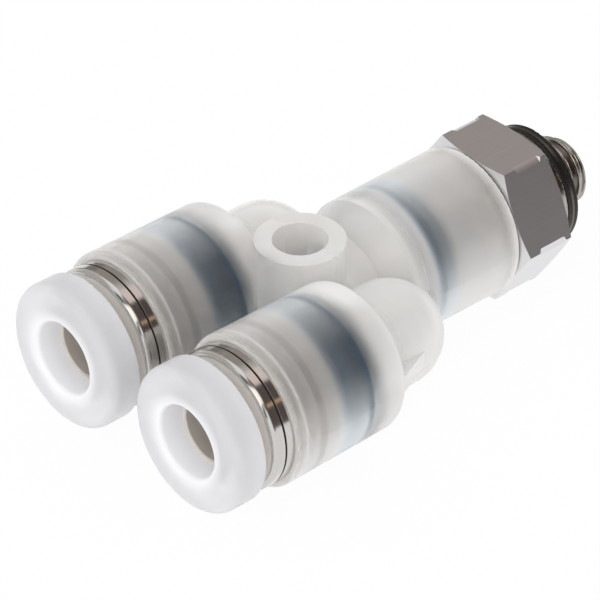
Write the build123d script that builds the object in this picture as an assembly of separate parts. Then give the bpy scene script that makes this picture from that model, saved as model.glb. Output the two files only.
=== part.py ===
from build123d import *

import os
from math import cos, radians, sin, sqrt, tan

# Male Y push-in fitting for 4 mm tube with an M5 swivel stud, in millimetres.
# The origin is on the thread axis where the gasket meets the port face.
# +Y runs along the thread to its tip, +Z is up along the mounting hole,
# and the two tube ports lie side by side along X and open towards -Y.

# Tube and general clearances
tube_radius = 2.0
tube_clearance = 0.1
fixed_fit = 0.01
running_fit = 0.05
branch_pitch = 11.7

# Gasket and thread stub
gasket_radius = 4.2
gasket_bore_play = 0.15
gasket_rubber = 0.35
gasket_metal = 0.2
gasket_edge_round = 0.1
thread_radius = 2.48
thread_length = 2.75
thread_chamfer = 0.38
thread_relief_radius = 2.05
flow_radius = 1.25

# Stud: collar, hexagon and swivel spigot
collar_length = 1.05
collar_edge = 0.12
hex_flats = 10.0
hex_length = 4.2
hex_turn = -3.0
hex_chamfer_angle = 20.0
hex_chamfer_length = 0.28
hex_waist_depth = 0.14
hex_waist_start = 1.15
hex_waist_length = 2.35
hex_waist_slope = 0.14
spigot_radius = 3.95
spigot_length = 4.97
relief_start = 0.35
relief_length = 0.8
relief_depth = 0.85
snap_setback = 2.35
snap_bead_height = 0.15
snap_bead_flat = 0.16
nose_radius = 2.85
nose_length = 2.88
nose_chamfer = 0.3

# Trunk of the body
swivel_gap = 0.1
trunk_rim_radius = 5.12
trunk_root_radius = 5.05
trunk_length = 8.9
trunk_edge = 0.12
trunk_lead_in = 0.25
shoulder_length = 1.5
seat_depth = 6.15
trunk_chamber_radius = 2.6
trunk_chamber_length = 1.9

# Swivel seal
seal_radius = 3.1
seal_flange_length = 0.43
seal_flange_round = 0.12
seal_squeeze = 0.03
seal_end_play = 0.05

# Necks, balls, boss and web
neck_radius = 3.53
ball_setback = 3.33
neck_length = 2.82
boss_setback = 2.12
boss_radius = 2.93
boss_height = 10.4
mount_hole_radius = 1.79
web_thickness = 1.2
web_tangent_angle = 57.0
web_sink = 0.1

# Tube barrels
barrel_length = 9.3
barrel_front_radius = 5.18
barrel_rear_radius = 5.08
barrel_front_round = 0.3
barrel_rear_round = 0.9
barrel_front_wall = 0.425
barrel_wall = 0.87
barrel_bore_depth = 6.65
tube_stop_depth = 1.2
passage_radius = 1.6
cross_passage_radius = 1.45
elbow_cavity_radius = 1.95

# Guide ring
guide_reach = 1.65
guide_front_round = 0.4
guide_groove_offset = 0.95
guide_groove_width = 0.16
guide_groove_depth = 0.13
guide_entry = 0.72
guide_cone_gap = 0.05
guide_sleeve_depth = 4.15
guide_sleeve_gap = 0.11
guide_sleeve_wall = 0.34
guide_grip_depth = 1.89
guide_grip_ramp = 0.3
guide_grip_length = 0.55
guide_grip_squeeze = 0.01
guide_lip = 0.9
guide_barb_room = 1.35
guide_bore_chamfer = 0.12

# Release ring and its liner
push_travel = 0.82
travel_stop_gap = 0.04
head_length = 2.22
head_radius = 4.94
head_front_round = 0.66
head_rear_round = 0.12
mouth_radius = 2.5
mouth_round = 0.35
mouth_throat_radius = 2.27
mouth_depth = 1.79
neck_sleeve_radius = 3.1
barb_height = 0.22
barb_length = 0.7
barb_slots = 4
barb_slot_width = 0.6
liner_wall = 0.4
liner_length = 4.5
liner_taper_length = 0.4
liner_taper = 0.24
liner_edge = 0.12

# Lock claw and support ring
claw_sheet = 0.25
claw_band_length = 0.5
claw_angle = 45.0
claw_bite = 0.02
claw_fingers = 8
claw_slot_width = 0.45
support_gap = 0.08
support_bore_play = 0.4

# Packing
packing_radius = 3.05
packing_nest = 0.55
packing_collar_length = 0.45
packing_flange_length = 0.43
packing_flange_round = 0.08
packing_squeeze = 0.02
packing_tail_length = 1.27
packing_lip_squeeze = 0.08
packing_relief = 0.2
packing_lip_length = 0.4
packing_lip_slope = 0.5

# Stations along Y, from the port face back to the tube mouths
gasket_length = 2 * gasket_rubber + gasket_metal
collar_face_y = -gasket_length
hex_rear_y = collar_face_y - collar_length
hex_front_y = hex_rear_y - hex_length
trunk_rim_y = hex_front_y - swivel_gap
trunk_root_y = trunk_rim_y - trunk_length
ball_y = trunk_root_y - ball_setback
boss_y = ball_y - boss_setback
barrel_rear_y = ball_y - neck_length
barrel_front_y = barrel_rear_y - barrel_length
guide_front_y = barrel_front_y - guide_reach
head_rear_y = guide_front_y - push_travel
head_front_y = head_rear_y - head_length
guide_step_y = barrel_front_y + guide_entry
guide_grip_y = barrel_front_y + guide_grip_depth
guide_end_y = barrel_front_y + guide_sleeve_depth
packing_front_y = guide_end_y - packing_nest
packing_step_y = barrel_front_y + barrel_bore_depth
packing_rear_y = packing_step_y + packing_tail_length
tube_stop_y = packing_rear_y + tube_stop_depth
snap_y = hex_front_y - snap_setback
spigot_end_y = hex_front_y - spigot_length
nose_end_y = spigot_end_y - nose_length
seal_seat_y = trunk_rim_y - seat_depth
liner_front_y = head_front_y + mouth_depth
liner_rear_y = liner_front_y + liner_length

# Sizes that follow from the ones above
branch_x = branch_pitch / 2
hex_corner_radius = hex_flats / sqrt(3)
gasket_bore_radius = thread_relief_radius + gasket_bore_play
spigot_bore_radius = spigot_radius + running_fit
nose_bore_radius = nose_radius + running_fit
snap_bead_radius = spigot_radius + snap_bead_height
tube_bore_radius = tube_radius + tube_clearance
liner_radius = tube_bore_radius + liner_wall
barrel_bore_radius = barrel_front_radius - barrel_wall
guide_seat_radius = barrel_front_radius - barrel_front_wall
guide_radius = guide_seat_radius - fixed_fit
guide_sleeve_radius = barrel_bore_radius - guide_sleeve_gap
guide_bore_radius = neck_sleeve_radius + running_fit
guide_inner_radius = guide_sleeve_radius - guide_sleeve_wall
barb_radius = neck_sleeve_radius + barb_height
claw_radius = guide_inner_radius - fixed_fit
claw_seat_y = guide_front_y + guide_lip + guide_barb_room


def rounded(section, rounds):
    # Flat section with the corners nearest to the given points rounded.
    for corner, radius in rounds:
        nearest = section.vertices().sort_by_distance((*corner, 0))[0]
        section = fillet(nearest, radius)
    return section


def turned(corners, rounds=()):
    # Solid turned about the Y axis from (radius, y) corners.
    section = make_face(Polyline(*corners, close=True))
    return revolve(rounded(section, rounds), Axis.Y)


def rod(radius, start_y, end_y):
    # Plain cylinder along Y between two stations.
    return turned([(0, start_y), (radius, start_y), (radius, end_y), (0, end_y)])


def tube_barrel():
    # Outside of one branch: drafted barrel, neck and half-ball elbow.
    outline = Polyline(
        (neck_radius, ball_y),
        (neck_radius, barrel_rear_y),
        (barrel_rear_radius, barrel_rear_y),
        (barrel_front_radius, barrel_front_y),
        (0, barrel_front_y),
        (0, ball_y + neck_radius),
    )
    section = make_face(outline + CenterArc((0, ball_y), neck_radius, 0, 90))
    section = rounded(
        section,
        [
            ((barrel_front_radius, barrel_front_y), barrel_front_round),
            ((barrel_rear_radius, barrel_rear_y), barrel_rear_round),
        ],
    )
    return revolve(section, Axis.Y)


def branch_bore():
    # Stepped hole of one branch, from the guide ring's seat to the elbow.
    cone_end_y = guide_step_y + guide_seat_radius - barrel_bore_radius
    tail_seat_radius = packing_radius + fixed_fit
    steps = turned(
        [
            (0, barrel_front_y),
            (guide_seat_radius, barrel_front_y),
            (guide_seat_radius, guide_step_y),
            (barrel_bore_radius, cone_end_y),
            (barrel_bore_radius, packing_step_y),
            (tail_seat_radius, packing_step_y),
            (tail_seat_radius, packing_rear_y),
            (tube_radius + running_fit, packing_rear_y),
            (tube_radius + running_fit, tube_stop_y),
            (passage_radius, tube_stop_y),
            (passage_radius, ball_y),
            (0, ball_y),
        ]
    )
    elbow_cavity = Pos(0, ball_y, 0) * Rot(-90, 0, 0) * Sphere(elbow_cavity_radius)
    return steps + elbow_cavity


def trunk():
    # Outside of the trunk: drafted barrel, coned root and the neck that runs on to the boss.
    shoulder_y = trunk_root_y - shoulder_length
    return turned(
        [
            (0, boss_y),
            (neck_radius, boss_y),
            (neck_radius, shoulder_y),
            (trunk_root_radius, trunk_root_y),
            (trunk_rim_radius, trunk_rim_y),
            (0, trunk_rim_y),
        ],
        [((trunk_rim_radius, trunk_rim_y), trunk_edge)],
    )


def trunk_bore():
    # Swivel seat with the snap bead's groove, then the nose's bore and the chamber.
    groove_radius = snap_bead_radius + running_fit
    groove_front_y = snap_y - snap_bead_flat / 2 - snap_bead_height
    groove_end_y = snap_y + snap_bead_flat / 2 + running_fit
    chamber_y = nose_end_y - running_fit
    return turned(
        [
            (0, chamber_y - trunk_chamber_length),
            (trunk_chamber_radius, chamber_y - trunk_chamber_length),
            (trunk_chamber_radius, chamber_y),
            (nose_bore_radius, chamber_y),
            (nose_bore_radius, seal_seat_y),
            (spigot_bore_radius, seal_seat_y),
            (spigot_bore_radius, groove_front_y - running_fit),
            (groove_radius, groove_front_y + snap_bead_height - running_fit),
            (groove_radius, groove_end_y),
            (spigot_bore_radius, groove_end_y),
            (spigot_bore_radius, trunk_rim_y - trunk_lead_in),
            (spigot_bore_radius + trunk_lead_in, trunk_rim_y),
            (0, trunk_rim_y),
        ]
    )


def cross_passage():
    # Slanting hole from the right elbow to the trunk chamber.
    start = Vector(branch_x, ball_y, 0)
    end = Vector(0, nose_end_y - trunk_chamber_length / 2, 0)
    run = end - start
    return extrude(Plane(origin=start, z_dir=run) * Circle(cross_passage_radius), run.length)


def both_sides(solid):
    # A right-hand feature together with its mirror image on the left.
    return solid + mirror(solid, Plane.YZ)


def web_half():
    # Right half of the thin plate in the middle plane that ties the ball to its barrel and the trunk.
    buried_radius = neck_radius - web_sink
    lean = radians(web_tangent_angle)
    slope = tan(lean)
    tangent_x = branch_x + neck_radius * cos(lean)
    tangent_y = ball_y + neck_radius * sin(lean)
    inner_x = trunk_root_radius - web_sink
    inner_y = tangent_y + (tangent_x - inner_x) / slope
    half = make_face(
        Polyline(
            (0, barrel_rear_y - web_sink),
            (branch_x + barrel_rear_radius - barrel_rear_round / 2, barrel_rear_y - web_sink),
            (branch_x + buried_radius, ball_y),
            (branch_x + buried_radius * cos(lean), ball_y + buried_radius * sin(lean)),
            (inner_x, inner_y),
            (0, inner_y),
            close=True,
        )
    )
    return extrude(half, web_thickness / 2, both=True)


def y_body():
    to_branch = Pos(branch_x, 0, 0)
    body = trunk() + both_sides(web_half()) + both_sides(to_branch * tube_barrel())
    body += Pos(0, boss_y, 0) * Cylinder(boss_radius, boss_height)
    body -= trunk_bore()
    body -= both_sides(to_branch * branch_bore() + cross_passage())
    return body - Pos(0, boss_y, 0) * Cylinder(mount_hole_radius, boss_height)


def guide_ring():
    # Turned ring: polished collar with a hairline groove, and a sleeve whose ramped rib grips the bore.
    cone_start_y = guide_step_y - guide_cone_gap
    cone_end_y = cone_start_y + guide_radius - guide_sleeve_radius
    grip_radius = barrel_bore_radius + guide_grip_squeeze
    grip_flat_y = guide_grip_y + guide_grip_ramp
    grip_end_y = grip_flat_y + guide_grip_length
    groove_y = guide_front_y + guide_groove_offset
    groove_radius = guide_radius - guide_groove_depth
    lip_end_y = guide_front_y + guide_lip
    barb_room_radius = barb_radius + running_fit
    return turned(
        [
            (guide_bore_radius + guide_bore_chamfer, guide_front_y),
            (guide_radius, guide_front_y),
            (guide_radius, groove_y - guide_groove_width / 2),
            (groove_radius, groove_y - guide_groove_width / 2),
            (groove_radius, groove_y + guide_groove_width / 2),
            (guide_radius, groove_y + guide_groove_width / 2),
            (guide_radius, cone_start_y),
            (guide_sleeve_radius, cone_end_y),
            (guide_sleeve_radius, guide_grip_y),
            (grip_radius, grip_flat_y),
            (grip_radius, grip_end_y),
            (guide_sleeve_radius, grip_end_y),
            (guide_sleeve_radius, guide_end_y),
            (guide_inner_radius, guide_end_y),
            (guide_inner_radius, claw_seat_y),
            (barb_room_radius, claw_seat_y),
            (barb_room_radius, lip_end_y),
            (guide_bore_radius, lip_end_y),
            (guide_bore_radius, guide_front_y + guide_bore_chamfer),
        ],
        [((guide_radius, guide_front_y), guide_front_round)],
    )


def release_ring():
    # Push head with a rounded mouth, and the slit neck whose barb hooks behind the guide ring's lip.
    barb_y = guide_front_y + guide_lip + travel_stop_gap
    barb_end_y = barb_y + barb_length
    ring = turned(
        [
            (mouth_radius, head_front_y),
            (head_radius, head_front_y),
            (head_radius, head_rear_y),
            (neck_sleeve_radius, head_rear_y),
            (neck_sleeve_radius, barb_y),
            (barb_radius, barb_y),
            (barb_radius, barb_y + barb_length / 3),
            (neck_sleeve_radius, barb_end_y),
            (liner_radius + fixed_fit, barb_end_y),
            (liner_radius + fixed_fit, liner_front_y),
            (mouth_throat_radius, liner_front_y),
        ],
        [
            ((head_radius, head_front_y), head_front_round),
            ((head_radius, head_rear_y), head_rear_round),
            ((mouth_radius, head_front_y), mouth_round),
        ],
    )
    slot_length = barb_length + guide_lip
    slot_y = barb_end_y - slot_length / 2
    for turn in range(barb_slots):
        slot = Pos(barb_radius, slot_y, 0) * Box(barb_radius, slot_length, barb_slot_width)
        ring -= Rot(0, turn * 360 / barb_slots, 0) * slot
    return ring


def collet_sleeve():
    # Thin liner fixed in the release ring; its tapered end spreads the claw.
    taper_y = liner_rear_y - liner_taper_length
    return turned(
        [
            (tube_bore_radius, liner_front_y),
            (liner_radius, liner_front_y),
            (liner_radius, taper_y),
            (liner_radius - liner_taper, liner_rear_y),
            (tube_bore_radius, liner_rear_y),
        ],
        [((tube_bore_radius, liner_front_y), liner_edge)],
    )


def claw_back_y(radius):
    # Station of the fingers' rear face at a given radius.
    lean = radians(claw_angle)
    bend_y = claw_seat_y + claw_band_length
    offset = claw_sheet / sin(lean) + (claw_radius - claw_sheet - radius) / tan(lean)
    return bend_y + offset


def lock_claw():
    # Band with fingers that lean inwards to sharp teeth just under the tube's radius.
    lean = radians(claw_angle)
    band_radius = claw_radius - claw_sheet
    bend_y = claw_seat_y + claw_band_length
    tooth_radius = tube_radius - claw_bite
    tooth_y = bend_y + (band_radius - tooth_radius) / tan(lean)
    back_radius = tooth_radius + claw_sheet * cos(lean)
    claw = turned(
        [
            (band_radius, claw_seat_y),
            (claw_radius, claw_seat_y),
            (claw_radius, claw_back_y(claw_radius)),
            (back_radius, claw_back_y(back_radius)),
            (tooth_radius, tooth_y),
            (band_radius, bend_y),
        ]
    )
    slot_length = claw_back_y(tooth_radius) - bend_y
    slot_y = bend_y + slot_length / 2
    for turn in range(claw_fingers):
        slot = Pos(claw_radius / 2, slot_y, 0) * Box(claw_radius, slot_length, claw_slot_width)
        claw -= Rot(0, (turn + 0.5) * 360 / claw_fingers, 0) * slot
    return claw


def support_ring():
    # Cone-faced ring behind the fingers that also closes in the packing.
    ring_radius = claw_radius - running_fit
    bore_radius = tube_radius + support_bore_play
    return turned(
        [
            (bore_radius, claw_back_y(bore_radius) + support_gap),
            (ring_radius, claw_back_y(ring_radius) + support_gap),
            (ring_radius, packing_front_y - fixed_fit),
            (bore_radius, packing_front_y - fixed_fit),
        ]
    )


def packing():
    # Rubber sleeve: collar nested in the guide ring, flange pressed to the bore and its step,
    # and a tail with one sealing lip round the tube.
    collar_radius = guide_inner_radius - fixed_fit
    collar_end_y = packing_front_y + packing_collar_length
    flange_radius = barrel_bore_radius + packing_squeeze
    flange_end_y = packing_step_y - fixed_fit
    flange_y = flange_end_y - packing_flange_length
    rear_y = packing_rear_y - fixed_fit
    lip_radius = tube_radius - packing_lip_squeeze
    relief_radius = tube_radius + packing_relief
    lip_end_y = rear_y - packing_lip_slope
    lip_start_y = lip_end_y - packing_lip_length
    return turned(
        [
            (relief_radius, packing_front_y),
            (collar_radius, packing_front_y),
            (collar_radius, collar_end_y),
            (packing_radius, collar_end_y),
            (packing_radius, flange_y),
            (flange_radius, flange_y),
            (flange_radius, flange_end_y),
            (packing_radius, flange_end_y),
            (packing_radius, rear_y),
            (relief_radius, rear_y),
            (lip_radius, lip_end_y),
            (lip_radius, lip_start_y),
            (relief_radius, lip_start_y - packing_lip_slope),
        ],
        [((flange_radius, flange_y), packing_flange_round)],
    )


def hexagon():
    # Wrench hexagon with chamfered ends and its corners turned down in the middle.
    profile = RegularPolygon(hex_corner_radius, 6, rotation=hex_turn)
    prism = extrude(Plane.XZ * profile, hex_length, both=True)
    chamfer_depth = hex_chamfer_length / tan(radians(hex_chamfer_angle))
    face_radius = hex_corner_radius - chamfer_depth
    waist_radius = hex_corner_radius - hex_waist_depth
    waist_front_y = hex_front_y + hex_waist_start
    waist_rear_y = waist_front_y + hex_waist_length
    envelope = turned(
        [
            (0, hex_front_y),
            (face_radius, hex_front_y),
            (hex_corner_radius, hex_front_y + hex_chamfer_length),
            (hex_corner_radius, waist_front_y),
            (waist_radius, waist_front_y + hex_waist_slope),
            (waist_radius, waist_rear_y - hex_waist_slope),
            (hex_corner_radius, waist_rear_y),
            (hex_corner_radius, hex_rear_y - hex_chamfer_length),
            (face_radius, hex_rear_y),
            (0, hex_rear_y),
        ]
    )
    return Pos(0, (hex_front_y + hex_rear_y) / 2, 0) * prism & envelope


def spigot():
    # Swivel end: nose through the seal, bearing with its ramped snap bead, relief at the hexagon.
    bead_y = snap_y - snap_bead_flat / 2
    bead_end_y = snap_y + snap_bead_flat / 2
    relief_end_y = hex_front_y - relief_start
    relief_y = relief_end_y - relief_length
    relief_radius = spigot_radius - relief_depth
    return turned(
        [
            (0, nose_end_y),
            (nose_radius - nose_chamfer, nose_end_y),
            (nose_radius, nose_end_y + nose_chamfer),
            (nose_radius, spigot_end_y),
            (spigot_radius, spigot_end_y),
            (spigot_radius, bead_y - snap_bead_height),
            (snap_bead_radius, bead_y),
            (snap_bead_radius, bead_end_y),
            (spigot_radius, bead_end_y),
            (spigot_radius, relief_y),
            (relief_radius, relief_y),
            (relief_radius, relief_end_y),
            (spigot_radius, relief_end_y),
            (spigot_radius, hex_front_y),
            (0, hex_front_y),
        ]
    )


def stud():
    # One turned piece: spigot, hexagon, collar and threaded stub with a through flow hole.
    # The relief between collar and thread holds the gasket captive.
    collar = turned(
        [
            (0, hex_rear_y),
            (gasket_radius, hex_rear_y),
            (gasket_radius, collar_face_y),
            (0, collar_face_y),
        ],
        [((gasket_radius, collar_face_y), collar_edge)],
    )
    stub = turned(
        [
            (0, collar_face_y),
            (thread_relief_radius, collar_face_y),
            (thread_relief_radius, 0),
            (thread_radius, 0),
            (thread_radius, thread_length - thread_chamfer),
            (thread_radius - thread_chamfer, thread_length),
            (0, thread_length),
        ]
    )
    flow_hole = rod(flow_radius, nose_end_y, thread_length)
    return spigot() + hexagon() + collar + stub - flow_hole


def swivel_seal():
    # Rubber ring with a flange that presses on the trunk's bore and its step.
    bore_radius = nose_radius + running_fit
    flange_radius = spigot_bore_radius + seal_squeeze
    flange_y = seal_seat_y - seal_squeeze
    flange_end_y = seal_seat_y + seal_flange_length
    end_y = spigot_end_y - seal_end_play
    return turned(
        [
            (bore_radius, flange_y),
            (flange_radius, flange_y),
            (flange_radius, flange_end_y),
            (seal_radius, flange_end_y),
            (seal_radius, end_y),
            (bore_radius, end_y),
        ],
        [((flange_radius, flange_end_y), seal_flange_round)],
    )


def gasket_layer(start_y, thickness, edge_round):
    # One flat ring of the bonded gasket.
    end_y = start_y + thickness
    corners = [
        (gasket_bore_radius, start_y),
        (gasket_radius, start_y),
        (gasket_radius, end_y),
        (gasket_bore_radius, end_y),
    ]
    rounds = [((gasket_radius, y), edge_round) for y in (start_y, end_y) if edge_round]
    return turned(corners, rounds)


pieces = {
    "y_body": y_body(),
    "stud": stud(),
    "swivel_seal": swivel_seal(),
    "gasket_rubber_front": gasket_layer(collar_face_y, gasket_rubber, gasket_edge_round),
    "gasket_core": gasket_layer(collar_face_y + gasket_rubber, gasket_metal, 0),
    "gasket_rubber_rear": gasket_layer(-gasket_rubber, gasket_rubber, gasket_edge_round),
}
branch_pieces = {
    "guide_ring": guide_ring(),
    "lock_claw": lock_claw(),
    "support_ring": support_ring(),
    "packing": packing(),
    "release_ring": release_ring(),
    "collet_sleeve": collet_sleeve(),
}
for name, piece in branch_pieces.items():
    pieces[name + "_left"] = Pos(-branch_x, 0, 0) * piece
    pieces[name + "_right"] = Pos(branch_x, 0, 0) * piece

os.makedirs("parts", exist_ok=True)
for name, piece in pieces.items():
    export_step(piece, f"parts/{name}.step")
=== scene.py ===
import math

import bmesh
import bpy
from mathutils import Matrix, Vector


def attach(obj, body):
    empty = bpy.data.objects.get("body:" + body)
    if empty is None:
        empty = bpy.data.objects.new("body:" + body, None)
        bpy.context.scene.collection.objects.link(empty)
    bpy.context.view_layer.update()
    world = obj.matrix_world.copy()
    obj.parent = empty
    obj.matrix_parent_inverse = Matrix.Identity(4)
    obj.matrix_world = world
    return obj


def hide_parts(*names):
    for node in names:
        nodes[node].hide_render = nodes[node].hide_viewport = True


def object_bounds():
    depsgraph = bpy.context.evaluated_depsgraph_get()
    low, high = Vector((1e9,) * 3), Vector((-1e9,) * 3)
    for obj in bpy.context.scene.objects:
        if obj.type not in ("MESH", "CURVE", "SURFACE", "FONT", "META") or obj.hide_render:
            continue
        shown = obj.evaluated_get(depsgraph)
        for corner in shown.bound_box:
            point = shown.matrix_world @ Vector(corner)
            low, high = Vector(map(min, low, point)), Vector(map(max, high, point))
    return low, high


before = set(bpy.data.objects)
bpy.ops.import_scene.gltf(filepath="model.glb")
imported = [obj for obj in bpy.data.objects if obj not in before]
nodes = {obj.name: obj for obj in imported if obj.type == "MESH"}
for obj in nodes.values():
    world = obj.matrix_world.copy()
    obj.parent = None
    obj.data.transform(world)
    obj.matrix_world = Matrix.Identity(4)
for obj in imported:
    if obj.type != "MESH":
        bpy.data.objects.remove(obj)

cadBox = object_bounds()
mm = 0.001
branchX = 5.85  # mm, axis of each tube port from the middle
middle = (0.0, -16.0, 0.0)  # mm, the point that the camera and the softbox face

# sockets of a Mix node: two numbers, two colours, and the colour that comes out
numberA, numberB, colourA, colourB, colourOut = 2, 3, 6, 7, 2


def linear(hexText):
    # sRGB hex to the linear colour that shaders take
    parts = [int(hexText[i:i + 2], 16) / 255 for i in (1, 3, 5)]
    return (*(c / 12.92 if c <= 0.04045 else ((c + 0.055) / 1.055) ** 2.4 for c in parts), 1.0)


def addNode(tree, kind, settings=None, links=None, feeds=None):
    # one node: settings are its properties or input values, links run into its inputs from
    # other sockets, and feeds run from its outputs to other sockets
    made = tree.nodes.new(kind)
    for name, value in (settings or {}).items():
        if isinstance(name, int) or name in made.inputs:
            made.inputs[name].default_value = value
        else:
            setattr(made, name, value)
    for name, source in (links or {}).items():
        tree.links.new(source, made.inputs[name])
    for name, target in (feeds or {}).items():
        tree.links.new(made.outputs[name], target)
    return made


def newMaterial(name, colour, **sockets):
    # principled shader with plain values on its own sockets
    made = bpy.data.materials.new(name)
    made.use_nodes = True
    shader = made.node_tree.nodes["Principled BSDF"]
    shader.inputs["Base Color"].default_value = linear(colour)
    for key, value in sockets.items():
        shader.inputs[key].default_value = value
    return made, made.node_tree, shader


def millimetres(tree):
    # object position in millimetres, so that pattern scales are real sizes
    place = addNode(tree, "ShaderNodeTexCoord")
    return addNode(tree, "ShaderNodeVectorMath", {"operation": "SCALE", "Scale": 1 / mm},
                   {0: place.outputs["Object"]}).outputs[0]


def turnedPlace(tree, axisX):
    # (radius, length along the axis, turn) about an axis at +-axisX, for marks that a lathe leaves
    split = addNode(tree, "ShaderNodeSeparateXYZ", {}, {0: millimetres(tree)})
    side = addNode(tree, "ShaderNodeMath", {"operation": "ABSOLUTE"}, {0: split.outputs["X"]})
    across = addNode(tree, "ShaderNodeMath", {"operation": "SUBTRACT", 1: axisX}, {0: side.outputs[0]})
    flat = addNode(tree, "ShaderNodeCombineXYZ", {}, {"X": across.outputs[0], "Y": split.outputs["Z"]})
    radius = addNode(tree, "ShaderNodeVectorMath", {"operation": "LENGTH"}, {0: flat.outputs[0]})
    turn = addNode(tree, "ShaderNodeMath", {"operation": "ARCTAN2"},
                   {0: split.outputs["Z"], 1: across.outputs[0]})
    return addNode(tree, "ShaderNodeCombineXYZ", {}, {
        "X": radius.outputs["Value"], "Y": split.outputs["Y"], "Z": turn.outputs[0],
    }).outputs[0]


def byStation(tree, place, stops):
    # a value that changes along Y through (station in mm, value) stops
    low, high = stops[0][0], stops[-1][0]
    split = addNode(tree, "ShaderNodeSeparateXYZ", {}, {0: place})
    along = addNode(tree, "ShaderNodeMapRange", {"From Min": low, "From Max": high},
                    {"Value": split.outputs["Y"]})
    ramp = addNode(tree, "ShaderNodeValToRGB", {}, {0: along.outputs[0]})
    marks = ramp.color_ramp.elements
    marks.remove(marks[1])
    for count, (station, value) in enumerate(stops):
        mark = marks[0] if count == 0 else marks.new((station - low) / (high - low))
        mark.color = (value, value, value, 1.0)
    return ramp.outputs[0]


bodyPlastic = {
    "warm": "#fffcf9",
    "cool": "#f4fafe",
    "index": 1.45,  # solid plastic has 1.49; set lower, for how far the wall shifts what it shows
    "cloud": 3.5,  # mm, drift of the tint
    "drift": 0.12,
    # each map gives stations along the part in mm and the value there
    # share of the cool tint, painted light: a blue painted in by station where haze scatters blue over dark
    # rubber and lets warm light pass
    "blue": [(-30.6, 0.0), (-27.2, 0.0), (-26.5, 1.0), (-24.2, 1.0), (-23.4, 0.12), (-13.5, 0.12),
             (-13.0, 1.0), (-12.0, 1.0), (-11.0, 0.2), (-6.2, 0.0)],
    # share of clear plastic: the wall glows milky where air lies behind it and stays dark where
    # rubber touches it, and the seats' inner edges show as thin light rings
    "clear": [(-30.6, 0.66), (-30.45, 0.78), (-30.15, 0.80), (-30.05, 0.77), (-29.97, 0.63), (-29.88, 0.63),
              (-29.75, 0.77), (-29.3, 0.77), (-27.1, 0.74), (-26.7, 0.88), (-26.3, 0.95), (-24.0, 0.97),
              (-23.5, 0.77), (-23.0, 0.56), (-22.0, 0.45), (-14.8, 0.46), (-14.6, 0.54), (-14.2, 0.60),
              (-13.9, 0.58), (-13.5, 0.51), (-13.3, 0.55), (-13.1, 0.74), (-12.9, 0.87), (-12.5, 0.88),
              (-11.8, 0.86), (-11.0, 0.71), (-7.6, 0.71), (-7.1, 0.77), (-6.8, 0.69), (-6.4, 0.52),
              (-6.2, 0.15)],
    # roughness: moulded skin over thick and thin walls
    "haze": [(-30.6, 0.20), (-30.45, 0.29), (-28.6, 0.29), (-27.2, 0.30), (-26.6, 0.40), (-25.2, 0.38),
             (-24.6, 0.29), (-24.3, 0.29), (-24.0, 0.40), (-22.0, 0.36), (-20.0, 0.26), (-14.6, 0.24),
             (-14.0, 0.29), (-12.9, 0.29), (-12.0, 0.36), (-11.0, 0.38), (-9.4, 0.32), (-7.9, 0.29),
             (-7.0, 0.29), (-6.7, 0.22), (-6.2, 0.20)],
    # clear share lost where light crosses the wall on the slant, through more of the haze
    "slant": [(-30.6, 0.26), (-27.4, 0.26), (-26.8, 0.42), (-25.0, 0.42), (-24.5, 0.3), (-23.8, 0.2),
              (-22.0, 0.12), (-13.5, 0.12), (-13.0, 0.40), (-11.7, 0.48), (-11.0, 0.3), (-6.2, 0.26)],
    "slantFrom": 0.18,  # Layer Weight's facing value where that loss begins
    "slantTo": 0.55,
    "grain": 0.25,  # mm, spark eroded mould face; the usual 0.04 is too fine to show
    "grainDepth": 0.0006,  # mm
    "grainStrength": 0.4,
}


def naturalPolypropylene():
    # natural polypropylene, injection moulded: hazy and watery, so what lies against it shows
    # through while the rest melts into a milky blur
    made, tree, shader = newMaterial("naturalPolypropyleneMoulded", bodyPlastic["warm"],
                                     IOR=bodyPlastic["index"])
    place = millimetres(tree)
    cloud = addNode(tree, "ShaderNodeTexNoise", {"Scale": 1 / bodyPlastic["cloud"], "Detail": 2.0},
                    {"Vector": place})
    tint = addNode(tree, "ShaderNodeMath", {"operation": "MULTIPLY_ADD", 1: bodyPlastic["drift"]},
                   {0: cloud.outputs["Fac"], 2: byStation(tree, place, bodyPlastic["blue"])})
    addNode(tree, "ShaderNodeMix", {
        "data_type": "RGBA", colourA: linear(bodyPlastic["warm"]), colourB: linear(bodyPlastic["cool"]),
    }, {0: tint.outputs[0]}, {colourOut: shader.inputs["Base Color"]})
    facing = addNode(tree, "ShaderNodeLayerWeight", {"Blend": 0.5})
    edge = addNode(tree, "ShaderNodeMapRange", {
        "From Min": bodyPlastic["slantFrom"], "From Max": bodyPlastic["slantTo"],
    }, {"Value": facing.outputs["Facing"]})
    milk = addNode(tree, "ShaderNodeMath", {"operation": "MULTIPLY"},
                   {0: edge.outputs[0], 1: byStation(tree, place, bodyPlastic["slant"])})
    addNode(tree, "ShaderNodeMath", {"operation": "SUBTRACT", "use_clamp": True},
            {0: byStation(tree, place, bodyPlastic["clear"]), 1: milk.outputs[0]},
            {0: shader.inputs["Transmission Weight"]})
    tree.links.new(byStation(tree, place, bodyPlastic["haze"]), shader.inputs["Roughness"])
    grain = addNode(tree, "ShaderNodeTexNoise", {"Scale": 1 / bodyPlastic["grain"], "Detail": 2.0},
                    {"Vector": place})
    addNode(tree, "ShaderNodeBump", {
        "Strength": bodyPlastic["grainStrength"], "Distance": bodyPlastic["grainDepth"] * mm,
    }, {"Height": grain.outputs["Fac"]}, {0: shader.inputs["Normal"]})
    return made


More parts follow.
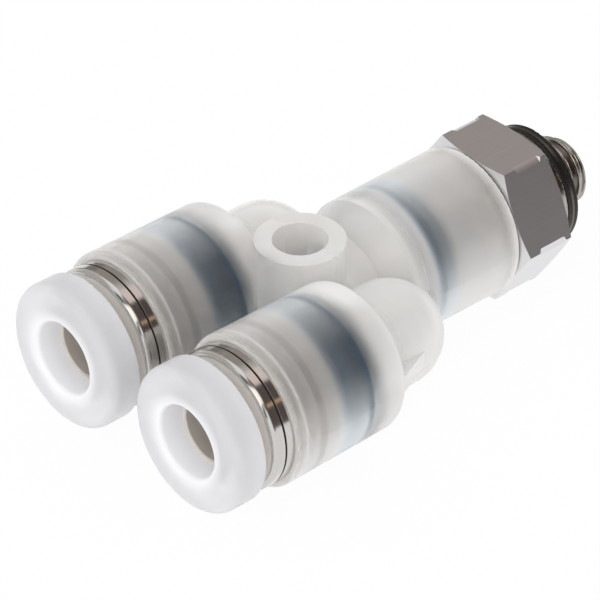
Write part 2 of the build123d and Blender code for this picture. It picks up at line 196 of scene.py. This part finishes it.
ringPlastic = {
    "pale": "#fdfdff",
    "shade": "#f6f6fa",
    "index": 1.49,
    "roughness": (0.42, 0.5),
    "clear": (0.12, 0.45),  # share of clear plastic in the mouth and in the head
    "mouth": (2.6, 3.4),  # mm, radii between which it changes
    "cloud": 2.0,  # mm, drift of pigment
    "grain": 0.10,  # mm, fine mould face, drawn coarser than the usual 0.04 to show
    "grainDepth": 0.002,  # mm
    "grainStrength": 0.4,
}


def milkyPolypropylene():
    # pigmented polypropylene, injection moulded: milky, with a soft satin skin
    made, tree, shader = newMaterial("milkyPolypropyleneMoulded", ringPlastic["pale"],
                                     IOR=ringPlastic["index"])
    place = millimetres(tree)
    around = addNode(tree, "ShaderNodeSeparateXYZ", {}, {0: turnedPlace(tree, branchX)})
    addNode(tree, "ShaderNodeMapRange", {
        "From Min": ringPlastic["mouth"][0], "From Max": ringPlastic["mouth"][1],
        "To Min": ringPlastic["clear"][0], "To Max": ringPlastic["clear"][1],
    }, {"Value": around.outputs["X"]}, {0: shader.inputs["Transmission Weight"]})
    cloud = addNode(tree, "ShaderNodeTexNoise", {"Scale": 1 / ringPlastic["cloud"], "Detail": 2.0},
                    {"Vector": place})
    addNode(tree, "ShaderNodeMix", {
        "data_type": "RGBA", colourA: linear(ringPlastic["pale"]), colourB: linear(ringPlastic["shade"]),
    }, {0: cloud.outputs["Fac"]}, {colourOut: shader.inputs["Base Color"]})
    addNode(tree, "ShaderNodeMapRange", {
        "To Min": ringPlastic["roughness"][0], "To Max": ringPlastic["roughness"][1],
    }, {"Value": cloud.outputs["Fac"]}, {0: shader.inputs["Roughness"]})
    grain = addNode(tree, "ShaderNodeTexNoise", {"Scale": 1 / ringPlastic["grain"], "Detail": 2.0},
                    {"Vector": place})
    addNode(tree, "ShaderNodeBump", {
        "Strength": ringPlastic["grainStrength"], "Distance": ringPlastic["grainDepth"] * mm,
    }, {"Height": grain.outputs["Fac"]}, {0: shader.inputs["Normal"]})
    return made


supportPlastic = {
    "pale": "#e9e7e2",
    "shade": "#dcdad4",
    "index": 1.48,
    "roughness": 0.4,
    "cloud": 0.8,  # mm
}


def mouldedAcetal():
    # natural acetal, moulded: opaque ivory white with a dull wax skin
    made, tree, shader = newMaterial("naturalAcetalMoulded", supportPlastic["pale"],
                                     IOR=supportPlastic["index"], Roughness=supportPlastic["roughness"])
    cloud = addNode(tree, "ShaderNodeTexNoise", {"Scale": 1 / supportPlastic["cloud"], "Detail": 3.0},
                    {"Vector": millimetres(tree)})
    addNode(tree, "ShaderNodeMix", {
        "data_type": "RGBA",
        colourA: linear(supportPlastic["pale"]), colourB: linear(supportPlastic["shade"]),
    }, {0: cloud.outputs["Fac"]}, {colourOut: shader.inputs["Base Color"]})
    return made


rubbers = {
    "slateNitrileMoulded": {"dark": "#0c4260", "light": "#1b506e", "roughness": 0.6},  # packings, swivel seal
    "blackNitrileBonded": {"dark": "#060708", "light": "#0e1013", "roughness": 0.5},  # gasket layers
}
rubberSkin = {
    "index": 1.5,
    "bloom": 0.5,  # mm, clouds of the bloom
    "depth": 0.003,  # mm
    "strength": 0.3,
}


def mouldedRubber(name):
    # nitrile rubber, compression moulded: dark with a grey bloom and a silky sheen
    values = rubbers[name]
    made, tree, shader = newMaterial(name, values["dark"],
                                     IOR=rubberSkin["index"], Roughness=values["roughness"])
    bloom = addNode(tree, "ShaderNodeTexNoise", {"Scale": 1 / rubberSkin["bloom"], "Detail": 4.0},
                    {"Vector": millimetres(tree)})
    addNode(tree, "ShaderNodeMix", {
        "data_type": "RGBA", colourA: linear(values["dark"]), colourB: linear(values["light"]),
    }, {0: bloom.outputs["Fac"]}, {colourOut: shader.inputs["Base Color"]})
    addNode(tree, "ShaderNodeBump", {
        "Strength": rubberSkin["strength"], "Distance": rubberSkin["depth"] * mm,
    }, {"Height": bloom.outputs["Fac"]}, {0: shader.inputs["Normal"]})
    return made


metals = {
    "stainlessTurnedPolished": {  # guide rings: crisp reflections, matt tumbled ends
        "dark": "#c4c1bd",
        "light": "#d4d2cf",
        "roughness": (0.10, 0.18),
        "feed": 0.10,  # mm between lathe marks; the usual 0.05 is too fine to show
        "depth": 0.0006,  # mm, of those marks
        "axisX": branchX,  # mm from the middle
        "metal": 0.92,  # a little under 1 lifts the darkest reflections
        "faced": 0.6,  # roughness of the ends
        "endMetal": 0.3,  # the ends scatter light like paint
        # painted shade in the groove, a dark colour standing in for its shadow: colour, radii and stations in
        # mm between which it comes in
        "film": ("#5a524a", (4.74, 4.70), (-31.5, -31.45)),
    },
    "stainlessTurnedSatin": {  # liners and claws: soft pale glow
        "dark": "#e4ded8",
        "light": "#f2eee9",
        "roughness": (0.65, 0.75),
        "feed": 0.12,  # drawn coarser than the usual 0.05, as above
        "depth": 0.0012,
        "axisX": branchX,
        "metal": 1.0,
        "faced": 0.7,
        "endMetal": 1.0,
    },
    "studSteelTurned": {  # stud's collar, stub and spigot: darker, with crisp rings
        "dark": "#a09a94",
        "light": "#bdb8b2",
        "roughness": (0.16, 0.28),
        "feed": 0.12,  # drawn coarser too
        "depth": 0.0008,
        "axisX": 0.0,
        "metal": 1.0,
        "faced": 0.3,
        "endMetal": 1.0,
    },
    "stainlessPunched": {  # gasket's core: dull sheared edge
        # painted shade: the core's colours are set far darker than steel, for the shade in the narrow groove
        # between the rubber layers; its sheared edge is dull
        "dark": "#5f5850",
        "light": "#777068",
        "roughness": (0.3, 0.4),
        "feed": 0.3,
        "depth": 0.001,
        "axisX": 0.0,
        "metal": 1.0,
        "faced": 0.4,
        "endMetal": 1.0,
    },
}
# ends facing -Y: their roughness and metallic values are the matt faced finish, and their colour is painted
# paler than the bar, painted light for the light they catch
facedEndsPaintedPale = {
    "colour": "#eee8df",
    "facing": (-0.97, -0.999),  # Y of the normals between which a face counts as an end
}
latheMarks = {"turn": 0.6, "strength": 0.5}  # stretch round the axis, and strength of the bump


def turnedSteel(name):
    # stainless bar, turned: rings round the axis smear each reflection across the feed marks
    values = metals[name]
    made, tree, shader = newMaterial(name, values["light"], Metallic=1.0)
    place = turnedPlace(tree, values["axisX"])
    scale = (1 / values["feed"], 1 / values["feed"], latheMarks["turn"])
    stretch = addNode(tree, "ShaderNodeVectorMath", {"operation": "MULTIPLY", 1: scale}, {0: place})
    rings = addNode(tree, "ShaderNodeTexNoise", {"Scale": 1.0, "Detail": 3.0, "Roughness": 0.6},
                    {"Vector": stretch.outputs[0]})
    tint = addNode(tree, "ShaderNodeMix", {
        "data_type": "RGBA", colourA: linear(values["dark"]), colourB: linear(values["light"]),
    }, {0: rings.outputs["Fac"]})
    span = addNode(tree, "ShaderNodeMapRange", {
        "To Min": values["roughness"][0], "To Max": values["roughness"][1],
    }, {"Value": rings.outputs["Fac"]})
    normal = addNode(tree, "ShaderNodeTexCoord").outputs["Normal"]
    facing = addNode(tree, "ShaderNodeSeparateXYZ", {}, {0: normal})
    ends = addNode(tree, "ShaderNodeMapRange", {
        "From Min": facedEndsPaintedPale["facing"][0], "From Max": facedEndsPaintedPale["facing"][1],
    }, {"Value": facing.outputs["Y"]})
    addNode(tree, "ShaderNodeMix", {numberB: values["faced"]},
            {0: ends.outputs[0], numberA: span.outputs[0]}, {0: shader.inputs["Roughness"]})
    addNode(tree, "ShaderNodeMix", {numberA: values["metal"], numberB: values["endMetal"]},
            {0: ends.outputs[0]}, {0: shader.inputs["Metallic"]})
    # painted light: the ends take the paler colour
    colour = addNode(tree, "ShaderNodeMix", {"data_type": "RGBA", colourB: linear(facedEndsPaintedPale["colour"])},
                     {0: ends.outputs[0], colourA: tint.outputs[colourOut]}).outputs[colourOut]
    # painted shade: the groove's floor is darkened to stand in for the shadow in it
    if "film" in values:
        filmColour, radii, stations = values["film"]
        split = addNode(tree, "ShaderNodeSeparateXYZ", {}, {0: place})
        deep = addNode(tree, "ShaderNodeMapRange", {"From Min": radii[0], "From Max": radii[1]},
                       {"Value": split.outputs["X"]})
        inGroove = addNode(tree, "ShaderNodeMapRange", {"From Min": stations[0], "From Max": stations[1]},
                           {"Value": split.outputs["Y"]})
        film = addNode(tree, "ShaderNodeMath", {"operation": "MULTIPLY"},
                       {0: deep.outputs[0], 1: inGroove.outputs[0]})
        colour = addNode(tree, "ShaderNodeMix", {"data_type": "RGBA", colourB: linear(filmColour)},
                         {0: film.outputs[0], colourA: colour}).outputs[colourOut]
    tree.links.new(colour, shader.inputs["Base Color"])
    addNode(tree, "ShaderNodeBump", {"Strength": latheMarks["strength"], "Distance": values["depth"] * mm},
            {"Height": rings.outputs["Fac"]}, {0: shader.inputs["Normal"]})
    return made


hexMetal = {
    "dark": "#d6d6d8",
    "light": "#e2e2e4",
    "roughness": (0.28, 0.36),
    "streak": 0.10,  # mm across the drawn bar's streaks
    "streakRun": 2.5,  # mm along them
    "depth": 0.0006,  # mm
    "strength": 0.5,
}


def drawnHexBar():
    # cold drawn stainless hexagon bar, tumbled: matt warm grey with faint streaks along the bar
    made, tree, shader = newMaterial("studSteelDrawnMatt", hexMetal["light"], Metallic=1.0)
    scale = (1 / hexMetal["streak"], 1 / hexMetal["streakRun"], 1 / hexMetal["streak"])
    stretch = addNode(tree, "ShaderNodeVectorMath", {"operation": "MULTIPLY", 1: scale},
                      {0: millimetres(tree)})
    streaks = addNode(tree, "ShaderNodeTexNoise", {"Scale": 1.0, "Detail": 3.0, "Roughness": 0.55},
                      {"Vector": stretch.outputs[0]})
    addNode(tree, "ShaderNodeMix", {
        "data_type": "RGBA", colourA: linear(hexMetal["dark"]), colourB: linear(hexMetal["light"]),
    }, {0: streaks.outputs["Fac"]}, {colourOut: shader.inputs["Base Color"]})
    addNode(tree, "ShaderNodeMapRange", {
        "To Min": hexMetal["roughness"][0], "To Max": hexMetal["roughness"][1],
    }, {"Value": streaks.outputs["Fac"]}, {0: shader.inputs["Roughness"]})
    addNode(tree, "ShaderNodeBump", {"Strength": hexMetal["strength"], "Distance": hexMetal["depth"] * mm},
            {"Height": streaks.outputs["Fac"]}, {0: shader.inputs["Normal"]})
    return made


materials = {
    "body": naturalPolypropylene(),
    "ring": milkyPolypropylene(),
    "support": mouldedAcetal(),
    "seal": mouldedRubber("slateNitrileMoulded"),
    "gasket": mouldedRubber("blackNitrileBonded"),
    "polished": turnedSteel("stainlessTurnedPolished"),
    "satin": turnedSteel("stainlessTurnedSatin"),
    "punched": turnedSteel("stainlessPunched"),
    "turned": turnedSteel("studSteelTurned"),
    "drawn": drawnHexBar(),
}
print("materials made:", len(materials))

# how each node's name begins, and its material
finishes = {
    "y_body": "body",
    "release_ring": "ring",
    "support_ring": "support",
    "packing": "seal",
    "swivel_seal": "seal",
    "gasket_rubber": "gasket",
    "gasket_core": "punched",
    "guide_ring": "polished",
    "collet_sleeve": "satin",
    "lock_claw": "satin",
    "stud": "turned",
}
for name, node in nodes.items():
    key = next(key for key in finishes if name.startswith(key))
    node.data.materials.clear()
    node.data.materials.append(materials[finishes[key]])
print("finishes given to", len(nodes), "nodes")


thread = {
    # mm, M5 coarse
    "pitch": 0.8,
    "crest": 2.48,
    "root": 2.05,
    "crestFlat": 0.12,
    "rootFlat": 0.2,
    "length": 2.75,
    "endChamfer": 0.38,
    "along": 0.05,  # between rows of points
    "around": 72,  # points in a row
    "turnStart": 0.35,  # turns, where the thread begins round the stub
    "runIn": 1.2,  # rise of the first turn out of the relief, in mm for each mm
}
# which of the stud's faces are its plain stub and which its hexagon, in mm
studParts = {
    "stubBeyond": 2.0,  # radius that the plain side lies outside of
    "hexBeyond": 3.0,
    "hexFrom": -6.2,
    "hexTo": -1.9,
    "near": 0.001,
}


def threadRadius(y, turn):
    # radius of the thread's flank at a station and a turn
    depth = thread["crest"] - thread["root"]
    phase = (y / thread["pitch"] - turn - thread["turnStart"]) % 1.0
    fromRoot = abs(phase - 0.5) * thread["pitch"]  # 0 at the middle of the groove
    flank = (thread["pitch"] - thread["crestFlat"] - thread["rootFlat"]) / 2
    lift = min(max((fromRoot - thread["rootFlat"] / 2) / flank, 0.0), 1.0)
    endRadius = thread["crest"] - thread["endChamfer"] + (thread["length"] - y)
    return min(thread["root"] + lift * depth, thread["root"] + y * thread["runIn"], endRadius)


def threadedStud():
    # the stud's own faces without the plain stub's side, and the thread in its place
    made = nodes["stud"].data.copy()
    made.name = "studThreaded"
    edit = bmesh.new()
    edit.from_mesh(made)
    near = studParts["near"] * mm
    plainSide = []
    for face in edit.faces:
        corners = [v.co for v in face.verts]
        outside = all(math.hypot(c.x, c.z) > studParts["stubBeyond"] * mm for c in corners)
        onStub = all(c.y > -near for c in corners)
        onEnd = all(c.y > thread["length"] * mm - near for c in corners)
        if outside and onStub and not onEnd:
            plainSide.append(face)
    bmesh.ops.delete(edit, geom=plainSide, context="FACES")

    rows = round(thread["length"] / thread["along"])
    grid = []
    for row in range(rows + 1):
        y = thread["length"] * row / rows
        ring = []
        for step in range(thread["around"]):
            turn = step / thread["around"]
            radius = threadRadius(y, turn)
            angle = 2 * math.pi * turn
            corner = (radius * math.cos(angle) * mm, y * mm, radius * math.sin(angle) * mm)
            ring.append(edit.verts.new(corner))
        grid.append(ring)
    for low, high in zip(grid, grid[1:]):
        for step in range(thread["around"]):
            after = (step + 1) % thread["around"]
            edit.faces.new((low[step], high[step], high[after], low[after])).normal_update()

    for face in edit.faces:
        face.smooth = True
        centre = face.calc_center_median()
        inHex = (studParts["hexFrom"] * mm < centre.y < studParts["hexTo"] * mm
                 and math.hypot(centre.x, centre.z) > studParts["hexBeyond"] * mm)
        face.material_index = 1 if inHex else 0
    made.materials.clear()
    edit.to_mesh(made)
    edit.free()
    made.materials.append(materials["turned"])
    made.materials.append(materials["drawn"])

    piece = bpy.data.objects.new("studThreaded", made)
    bpy.context.scene.collection.objects.link(piece)
    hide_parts("stud")
    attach(piece, "swivel_stud")
    print("thread cut,", len(made.polygons), "faces")


threadedStud()


studio = {
    "floorSize": 1.5,  # m, half side
    "floorColour": "#f6f6f7",
    "floorRoughness": 0.9,
    "floorGlow": 0.96,  # share of plain white in what the camera sees of it
    "dome": 1.06,
    "softShare": 0.15,  # how much of the dark parts reaches the diffuse and clear surfaces
}
# parts of the studio that metal mirrors: direction, inner and outer half angle in degrees,
# brightness, colour
cards = [
    ((0.64, 0.62, 0.42), 34, 62, 0.035, "#ffa070"),  # dark right back
    ((-0.60, 0.62, 0.45), 22, 45, 0.33, "#fff0e6"),  # grey left back
    ((-0.88, 0.46, 0.05), 12, 24, 0.22, "#efeae6"),  # darker still along the left
    ((-0.75, -0.50, 0.42), 24, 40, 0.6, "#f4f1ee"),  # grey left front
    ((0.28, -0.80, 0.52), 27, 33, 0.14, "#f0ece8"),  # dark flags round the softbox
    ((0.54, -0.08, 0.83), 24, 30, 0.2, "#f0ece8"),
    ((0.17, -0.93, 0.32), 13, 15, 1.7, "#fffaf2"),  # the softbox's own face
    ((0.32, -0.79, 0.52), 13, 15, 1.7, "#fffaf2"),
    ((0.48, -0.52, 0.71), 13, 15, 1.7, "#fffaf2"),
    ((0.57, -0.15, 0.81), 12, 14, 1.5, "#fffaf2"),
    ((0.10, 0.53, 0.84), 8, 14, 1.0, "#f6e6e0"),  # pale lamp above the back
    ((0.69, 0.53, 0.49), 1.6, 3.0, 1.0, "#f0c79a"),  # warm spot in the dark
]


def makeFloor():
    z = cadBox[0][2]
    half = studio["floorSize"]
    made = bpy.data.meshes.new("floor")
    corners = [(-half, -half, z), (half, -half, z), (half, half, z), (-half, half, z)]
    made.from_pydata(corners, [], [(0, 1, 2, 3)])
    piece = bpy.data.objects.new("floor", made)
    bpy.context.scene.collection.objects.link(piece)
    # white studio paper: matt, so the object's shadow falls soft and nothing mirrors in it
    paper, tree, shader = newMaterial("floorPaperMatt", studio["floorColour"],
                                      Roughness=studio["floorRoughness"])
    shader.inputs["Specular IOR Level"].default_value = 0.0
    # the camera sees mostly plain white with a little of the shaded paper, every other ray plain white
    path = addNode(tree, "ShaderNodeLightPath")
    glow = addNode(tree, "ShaderNodeEmission", {"Strength": 1.0})
    share = addNode(tree, "ShaderNodeMapRange", {"To Min": 1.0, "To Max": studio["floorGlow"]},
                    {"Value": path.outputs["Is Camera Ray"]})
    addNode(tree, "ShaderNodeMixShader", {}, {0: share.outputs[0], 1: shader.outputs[0], 2: glow.outputs[0]},
            {0: tree.nodes["Material Output"].inputs["Surface"]})
    made.materials.append(paper)


def makeWorld():
    # pale dome with the darker and brighter parts of the studio; the camera sees plain white
    world = bpy.data.worlds.new("studio")
    bpy.context.scene.world = world
    world.use_nodes = True
    tree = world.node_tree
    place = addNode(tree, "ShaderNodeTexCoord")
    dome = (studio["dome"],) * 3 + (1.0,)
    colour = None
    for direction, inner, outer, brightness, tint in cards:
        toward = Vector(direction).normalized()
        dot = addNode(tree, "ShaderNodeVectorMath", {"operation": "DOT_PRODUCT", 1: toward},
                      {0: place.outputs["Generated"]})
        edge = addNode(tree, "ShaderNodeMapRange", {
            "interpolation_type": "SMOOTHSTEP",
            "From Min": math.cos(math.radians(outer)),
            "From Max": math.cos(math.radians(inner)),
        }, {"Value": dot.outputs["Value"]})
        shown = [brightness * c for c in linear(tint)[:3]] + [1.0]
        mix = addNode(tree, "ShaderNodeMix", {"data_type": "RGBA", colourA: dome, colourB: shown},
                      {0: edge.outputs[0]})
        if colour:
            tree.links.new(colour, mix.inputs[colourA])
        colour = mix.outputs[colourOut]
    path = addNode(tree, "ShaderNodeLightPath")
    share = addNode(tree, "ShaderNodeMath", {"operation": "MAXIMUM", 1: studio["softShare"]},
                    {0: path.outputs["Is Glossy Ray"]})
    light = addNode(tree, "ShaderNodeMix", {"data_type": "RGBA", colourA: dome},
                    {0: share.outputs[0], colourB: colour})
    addNode(tree, "ShaderNodeMix", {"data_type": "RGBA", colourB: (1.0, 1.0, 1.0, 1.0)},
            {0: path.outputs["Is Camera Ray"], colourA: light.outputs[colourOut]},
            {colourOut: tree.nodes["Background"].inputs["Color"]})


softbox = {
    "from": (0.289, -0.828, 0.482),  # direction from the object
    "along": (0.532, 0.554, 0.633),  # way its long side runs
    "distance": 0.5,  # m
    "sides": (0.58, 0.24),  # m
    "radiance": 0.9,
}


def makeSoftbox():
    data = bpy.data.lights.new("frontSoftbox", "AREA")
    data.shape = "RECTANGLE"
    data.size, data.size_y = softbox["sides"]
    data.energy = softbox["radiance"] * math.pi * data.size * data.size_y
    lamp = bpy.data.objects.new("frontSoftbox", data)
    out = Vector(softbox["from"]).normalized()
    up = out.cross(Vector(softbox["along"])).normalized()
    across = up.cross(out)
    turn = Matrix((across, up, out)).transposed().to_4x4()
    lamp.matrix_world = Matrix.Translation(out * softbox["distance"] + Vector(middle) * mm) @ turn
    lamp.visible_camera = False
    lamp.visible_glossy = False  # metal mirrors the card of the same place instead, which has soft edges
    lamp.visible_transmission = False
    bpy.context.scene.collection.objects.link(lamp)


# camera, as fitted to the photograph's outlines
view = {
    "azimuth": 47.277,  # degrees from -Y towards +X
    "elevation": 35.243,
    "roll": 0.166,
    "distance": 301.53,  # mm
    "focal": 4733.4,  # pixels of a 600 pixel frame
    "centre": (354.01, 278.38),  # pixel that the lens axis meets
    "frame": 600.0,
    "sensor": 36.0,  # mm
    "clipStart": 0.01,  # m
}


def addCamera():
    az = math.radians(view["azimuth"])
    el = math.radians(view["elevation"])
    out = Vector((math.sin(az) * math.cos(el), -math.cos(az) * math.cos(el), math.sin(el)))
    right = Vector((math.cos(az), math.sin(az), 0))
    up = out.cross(right)
    roll = Matrix.Rotation(math.radians(view["roll"]), 3, out)
    turn = Matrix((roll @ right, roll @ up, out)).transposed().to_4x4()
    data = bpy.data.cameras.new("productCamera")
    data.sensor_width = view["sensor"]
    data.lens = view["focal"] / view["frame"] * data.sensor_width
    data.shift_x = (view["frame"] / 2 - view["centre"][0]) / view["frame"]
    data.shift_y = (view["centre"][1] - view["frame"] / 2) / view["frame"]
    data.clip_start = view["clipStart"]
    camera = bpy.data.objects.new("productCamera", data)
    camera.matrix_world = Matrix.Translation((Vector(middle) + out * view["distance"]) * mm) @ turn
    bpy.context.scene.collection.objects.link(camera)
    bpy.context.scene.camera = camera


makeFloor()
makeWorld()
makeSoftbox()
addCamera()
print("studio and camera set")

bpy.context.scene.view_settings.view_transform = "Standard"
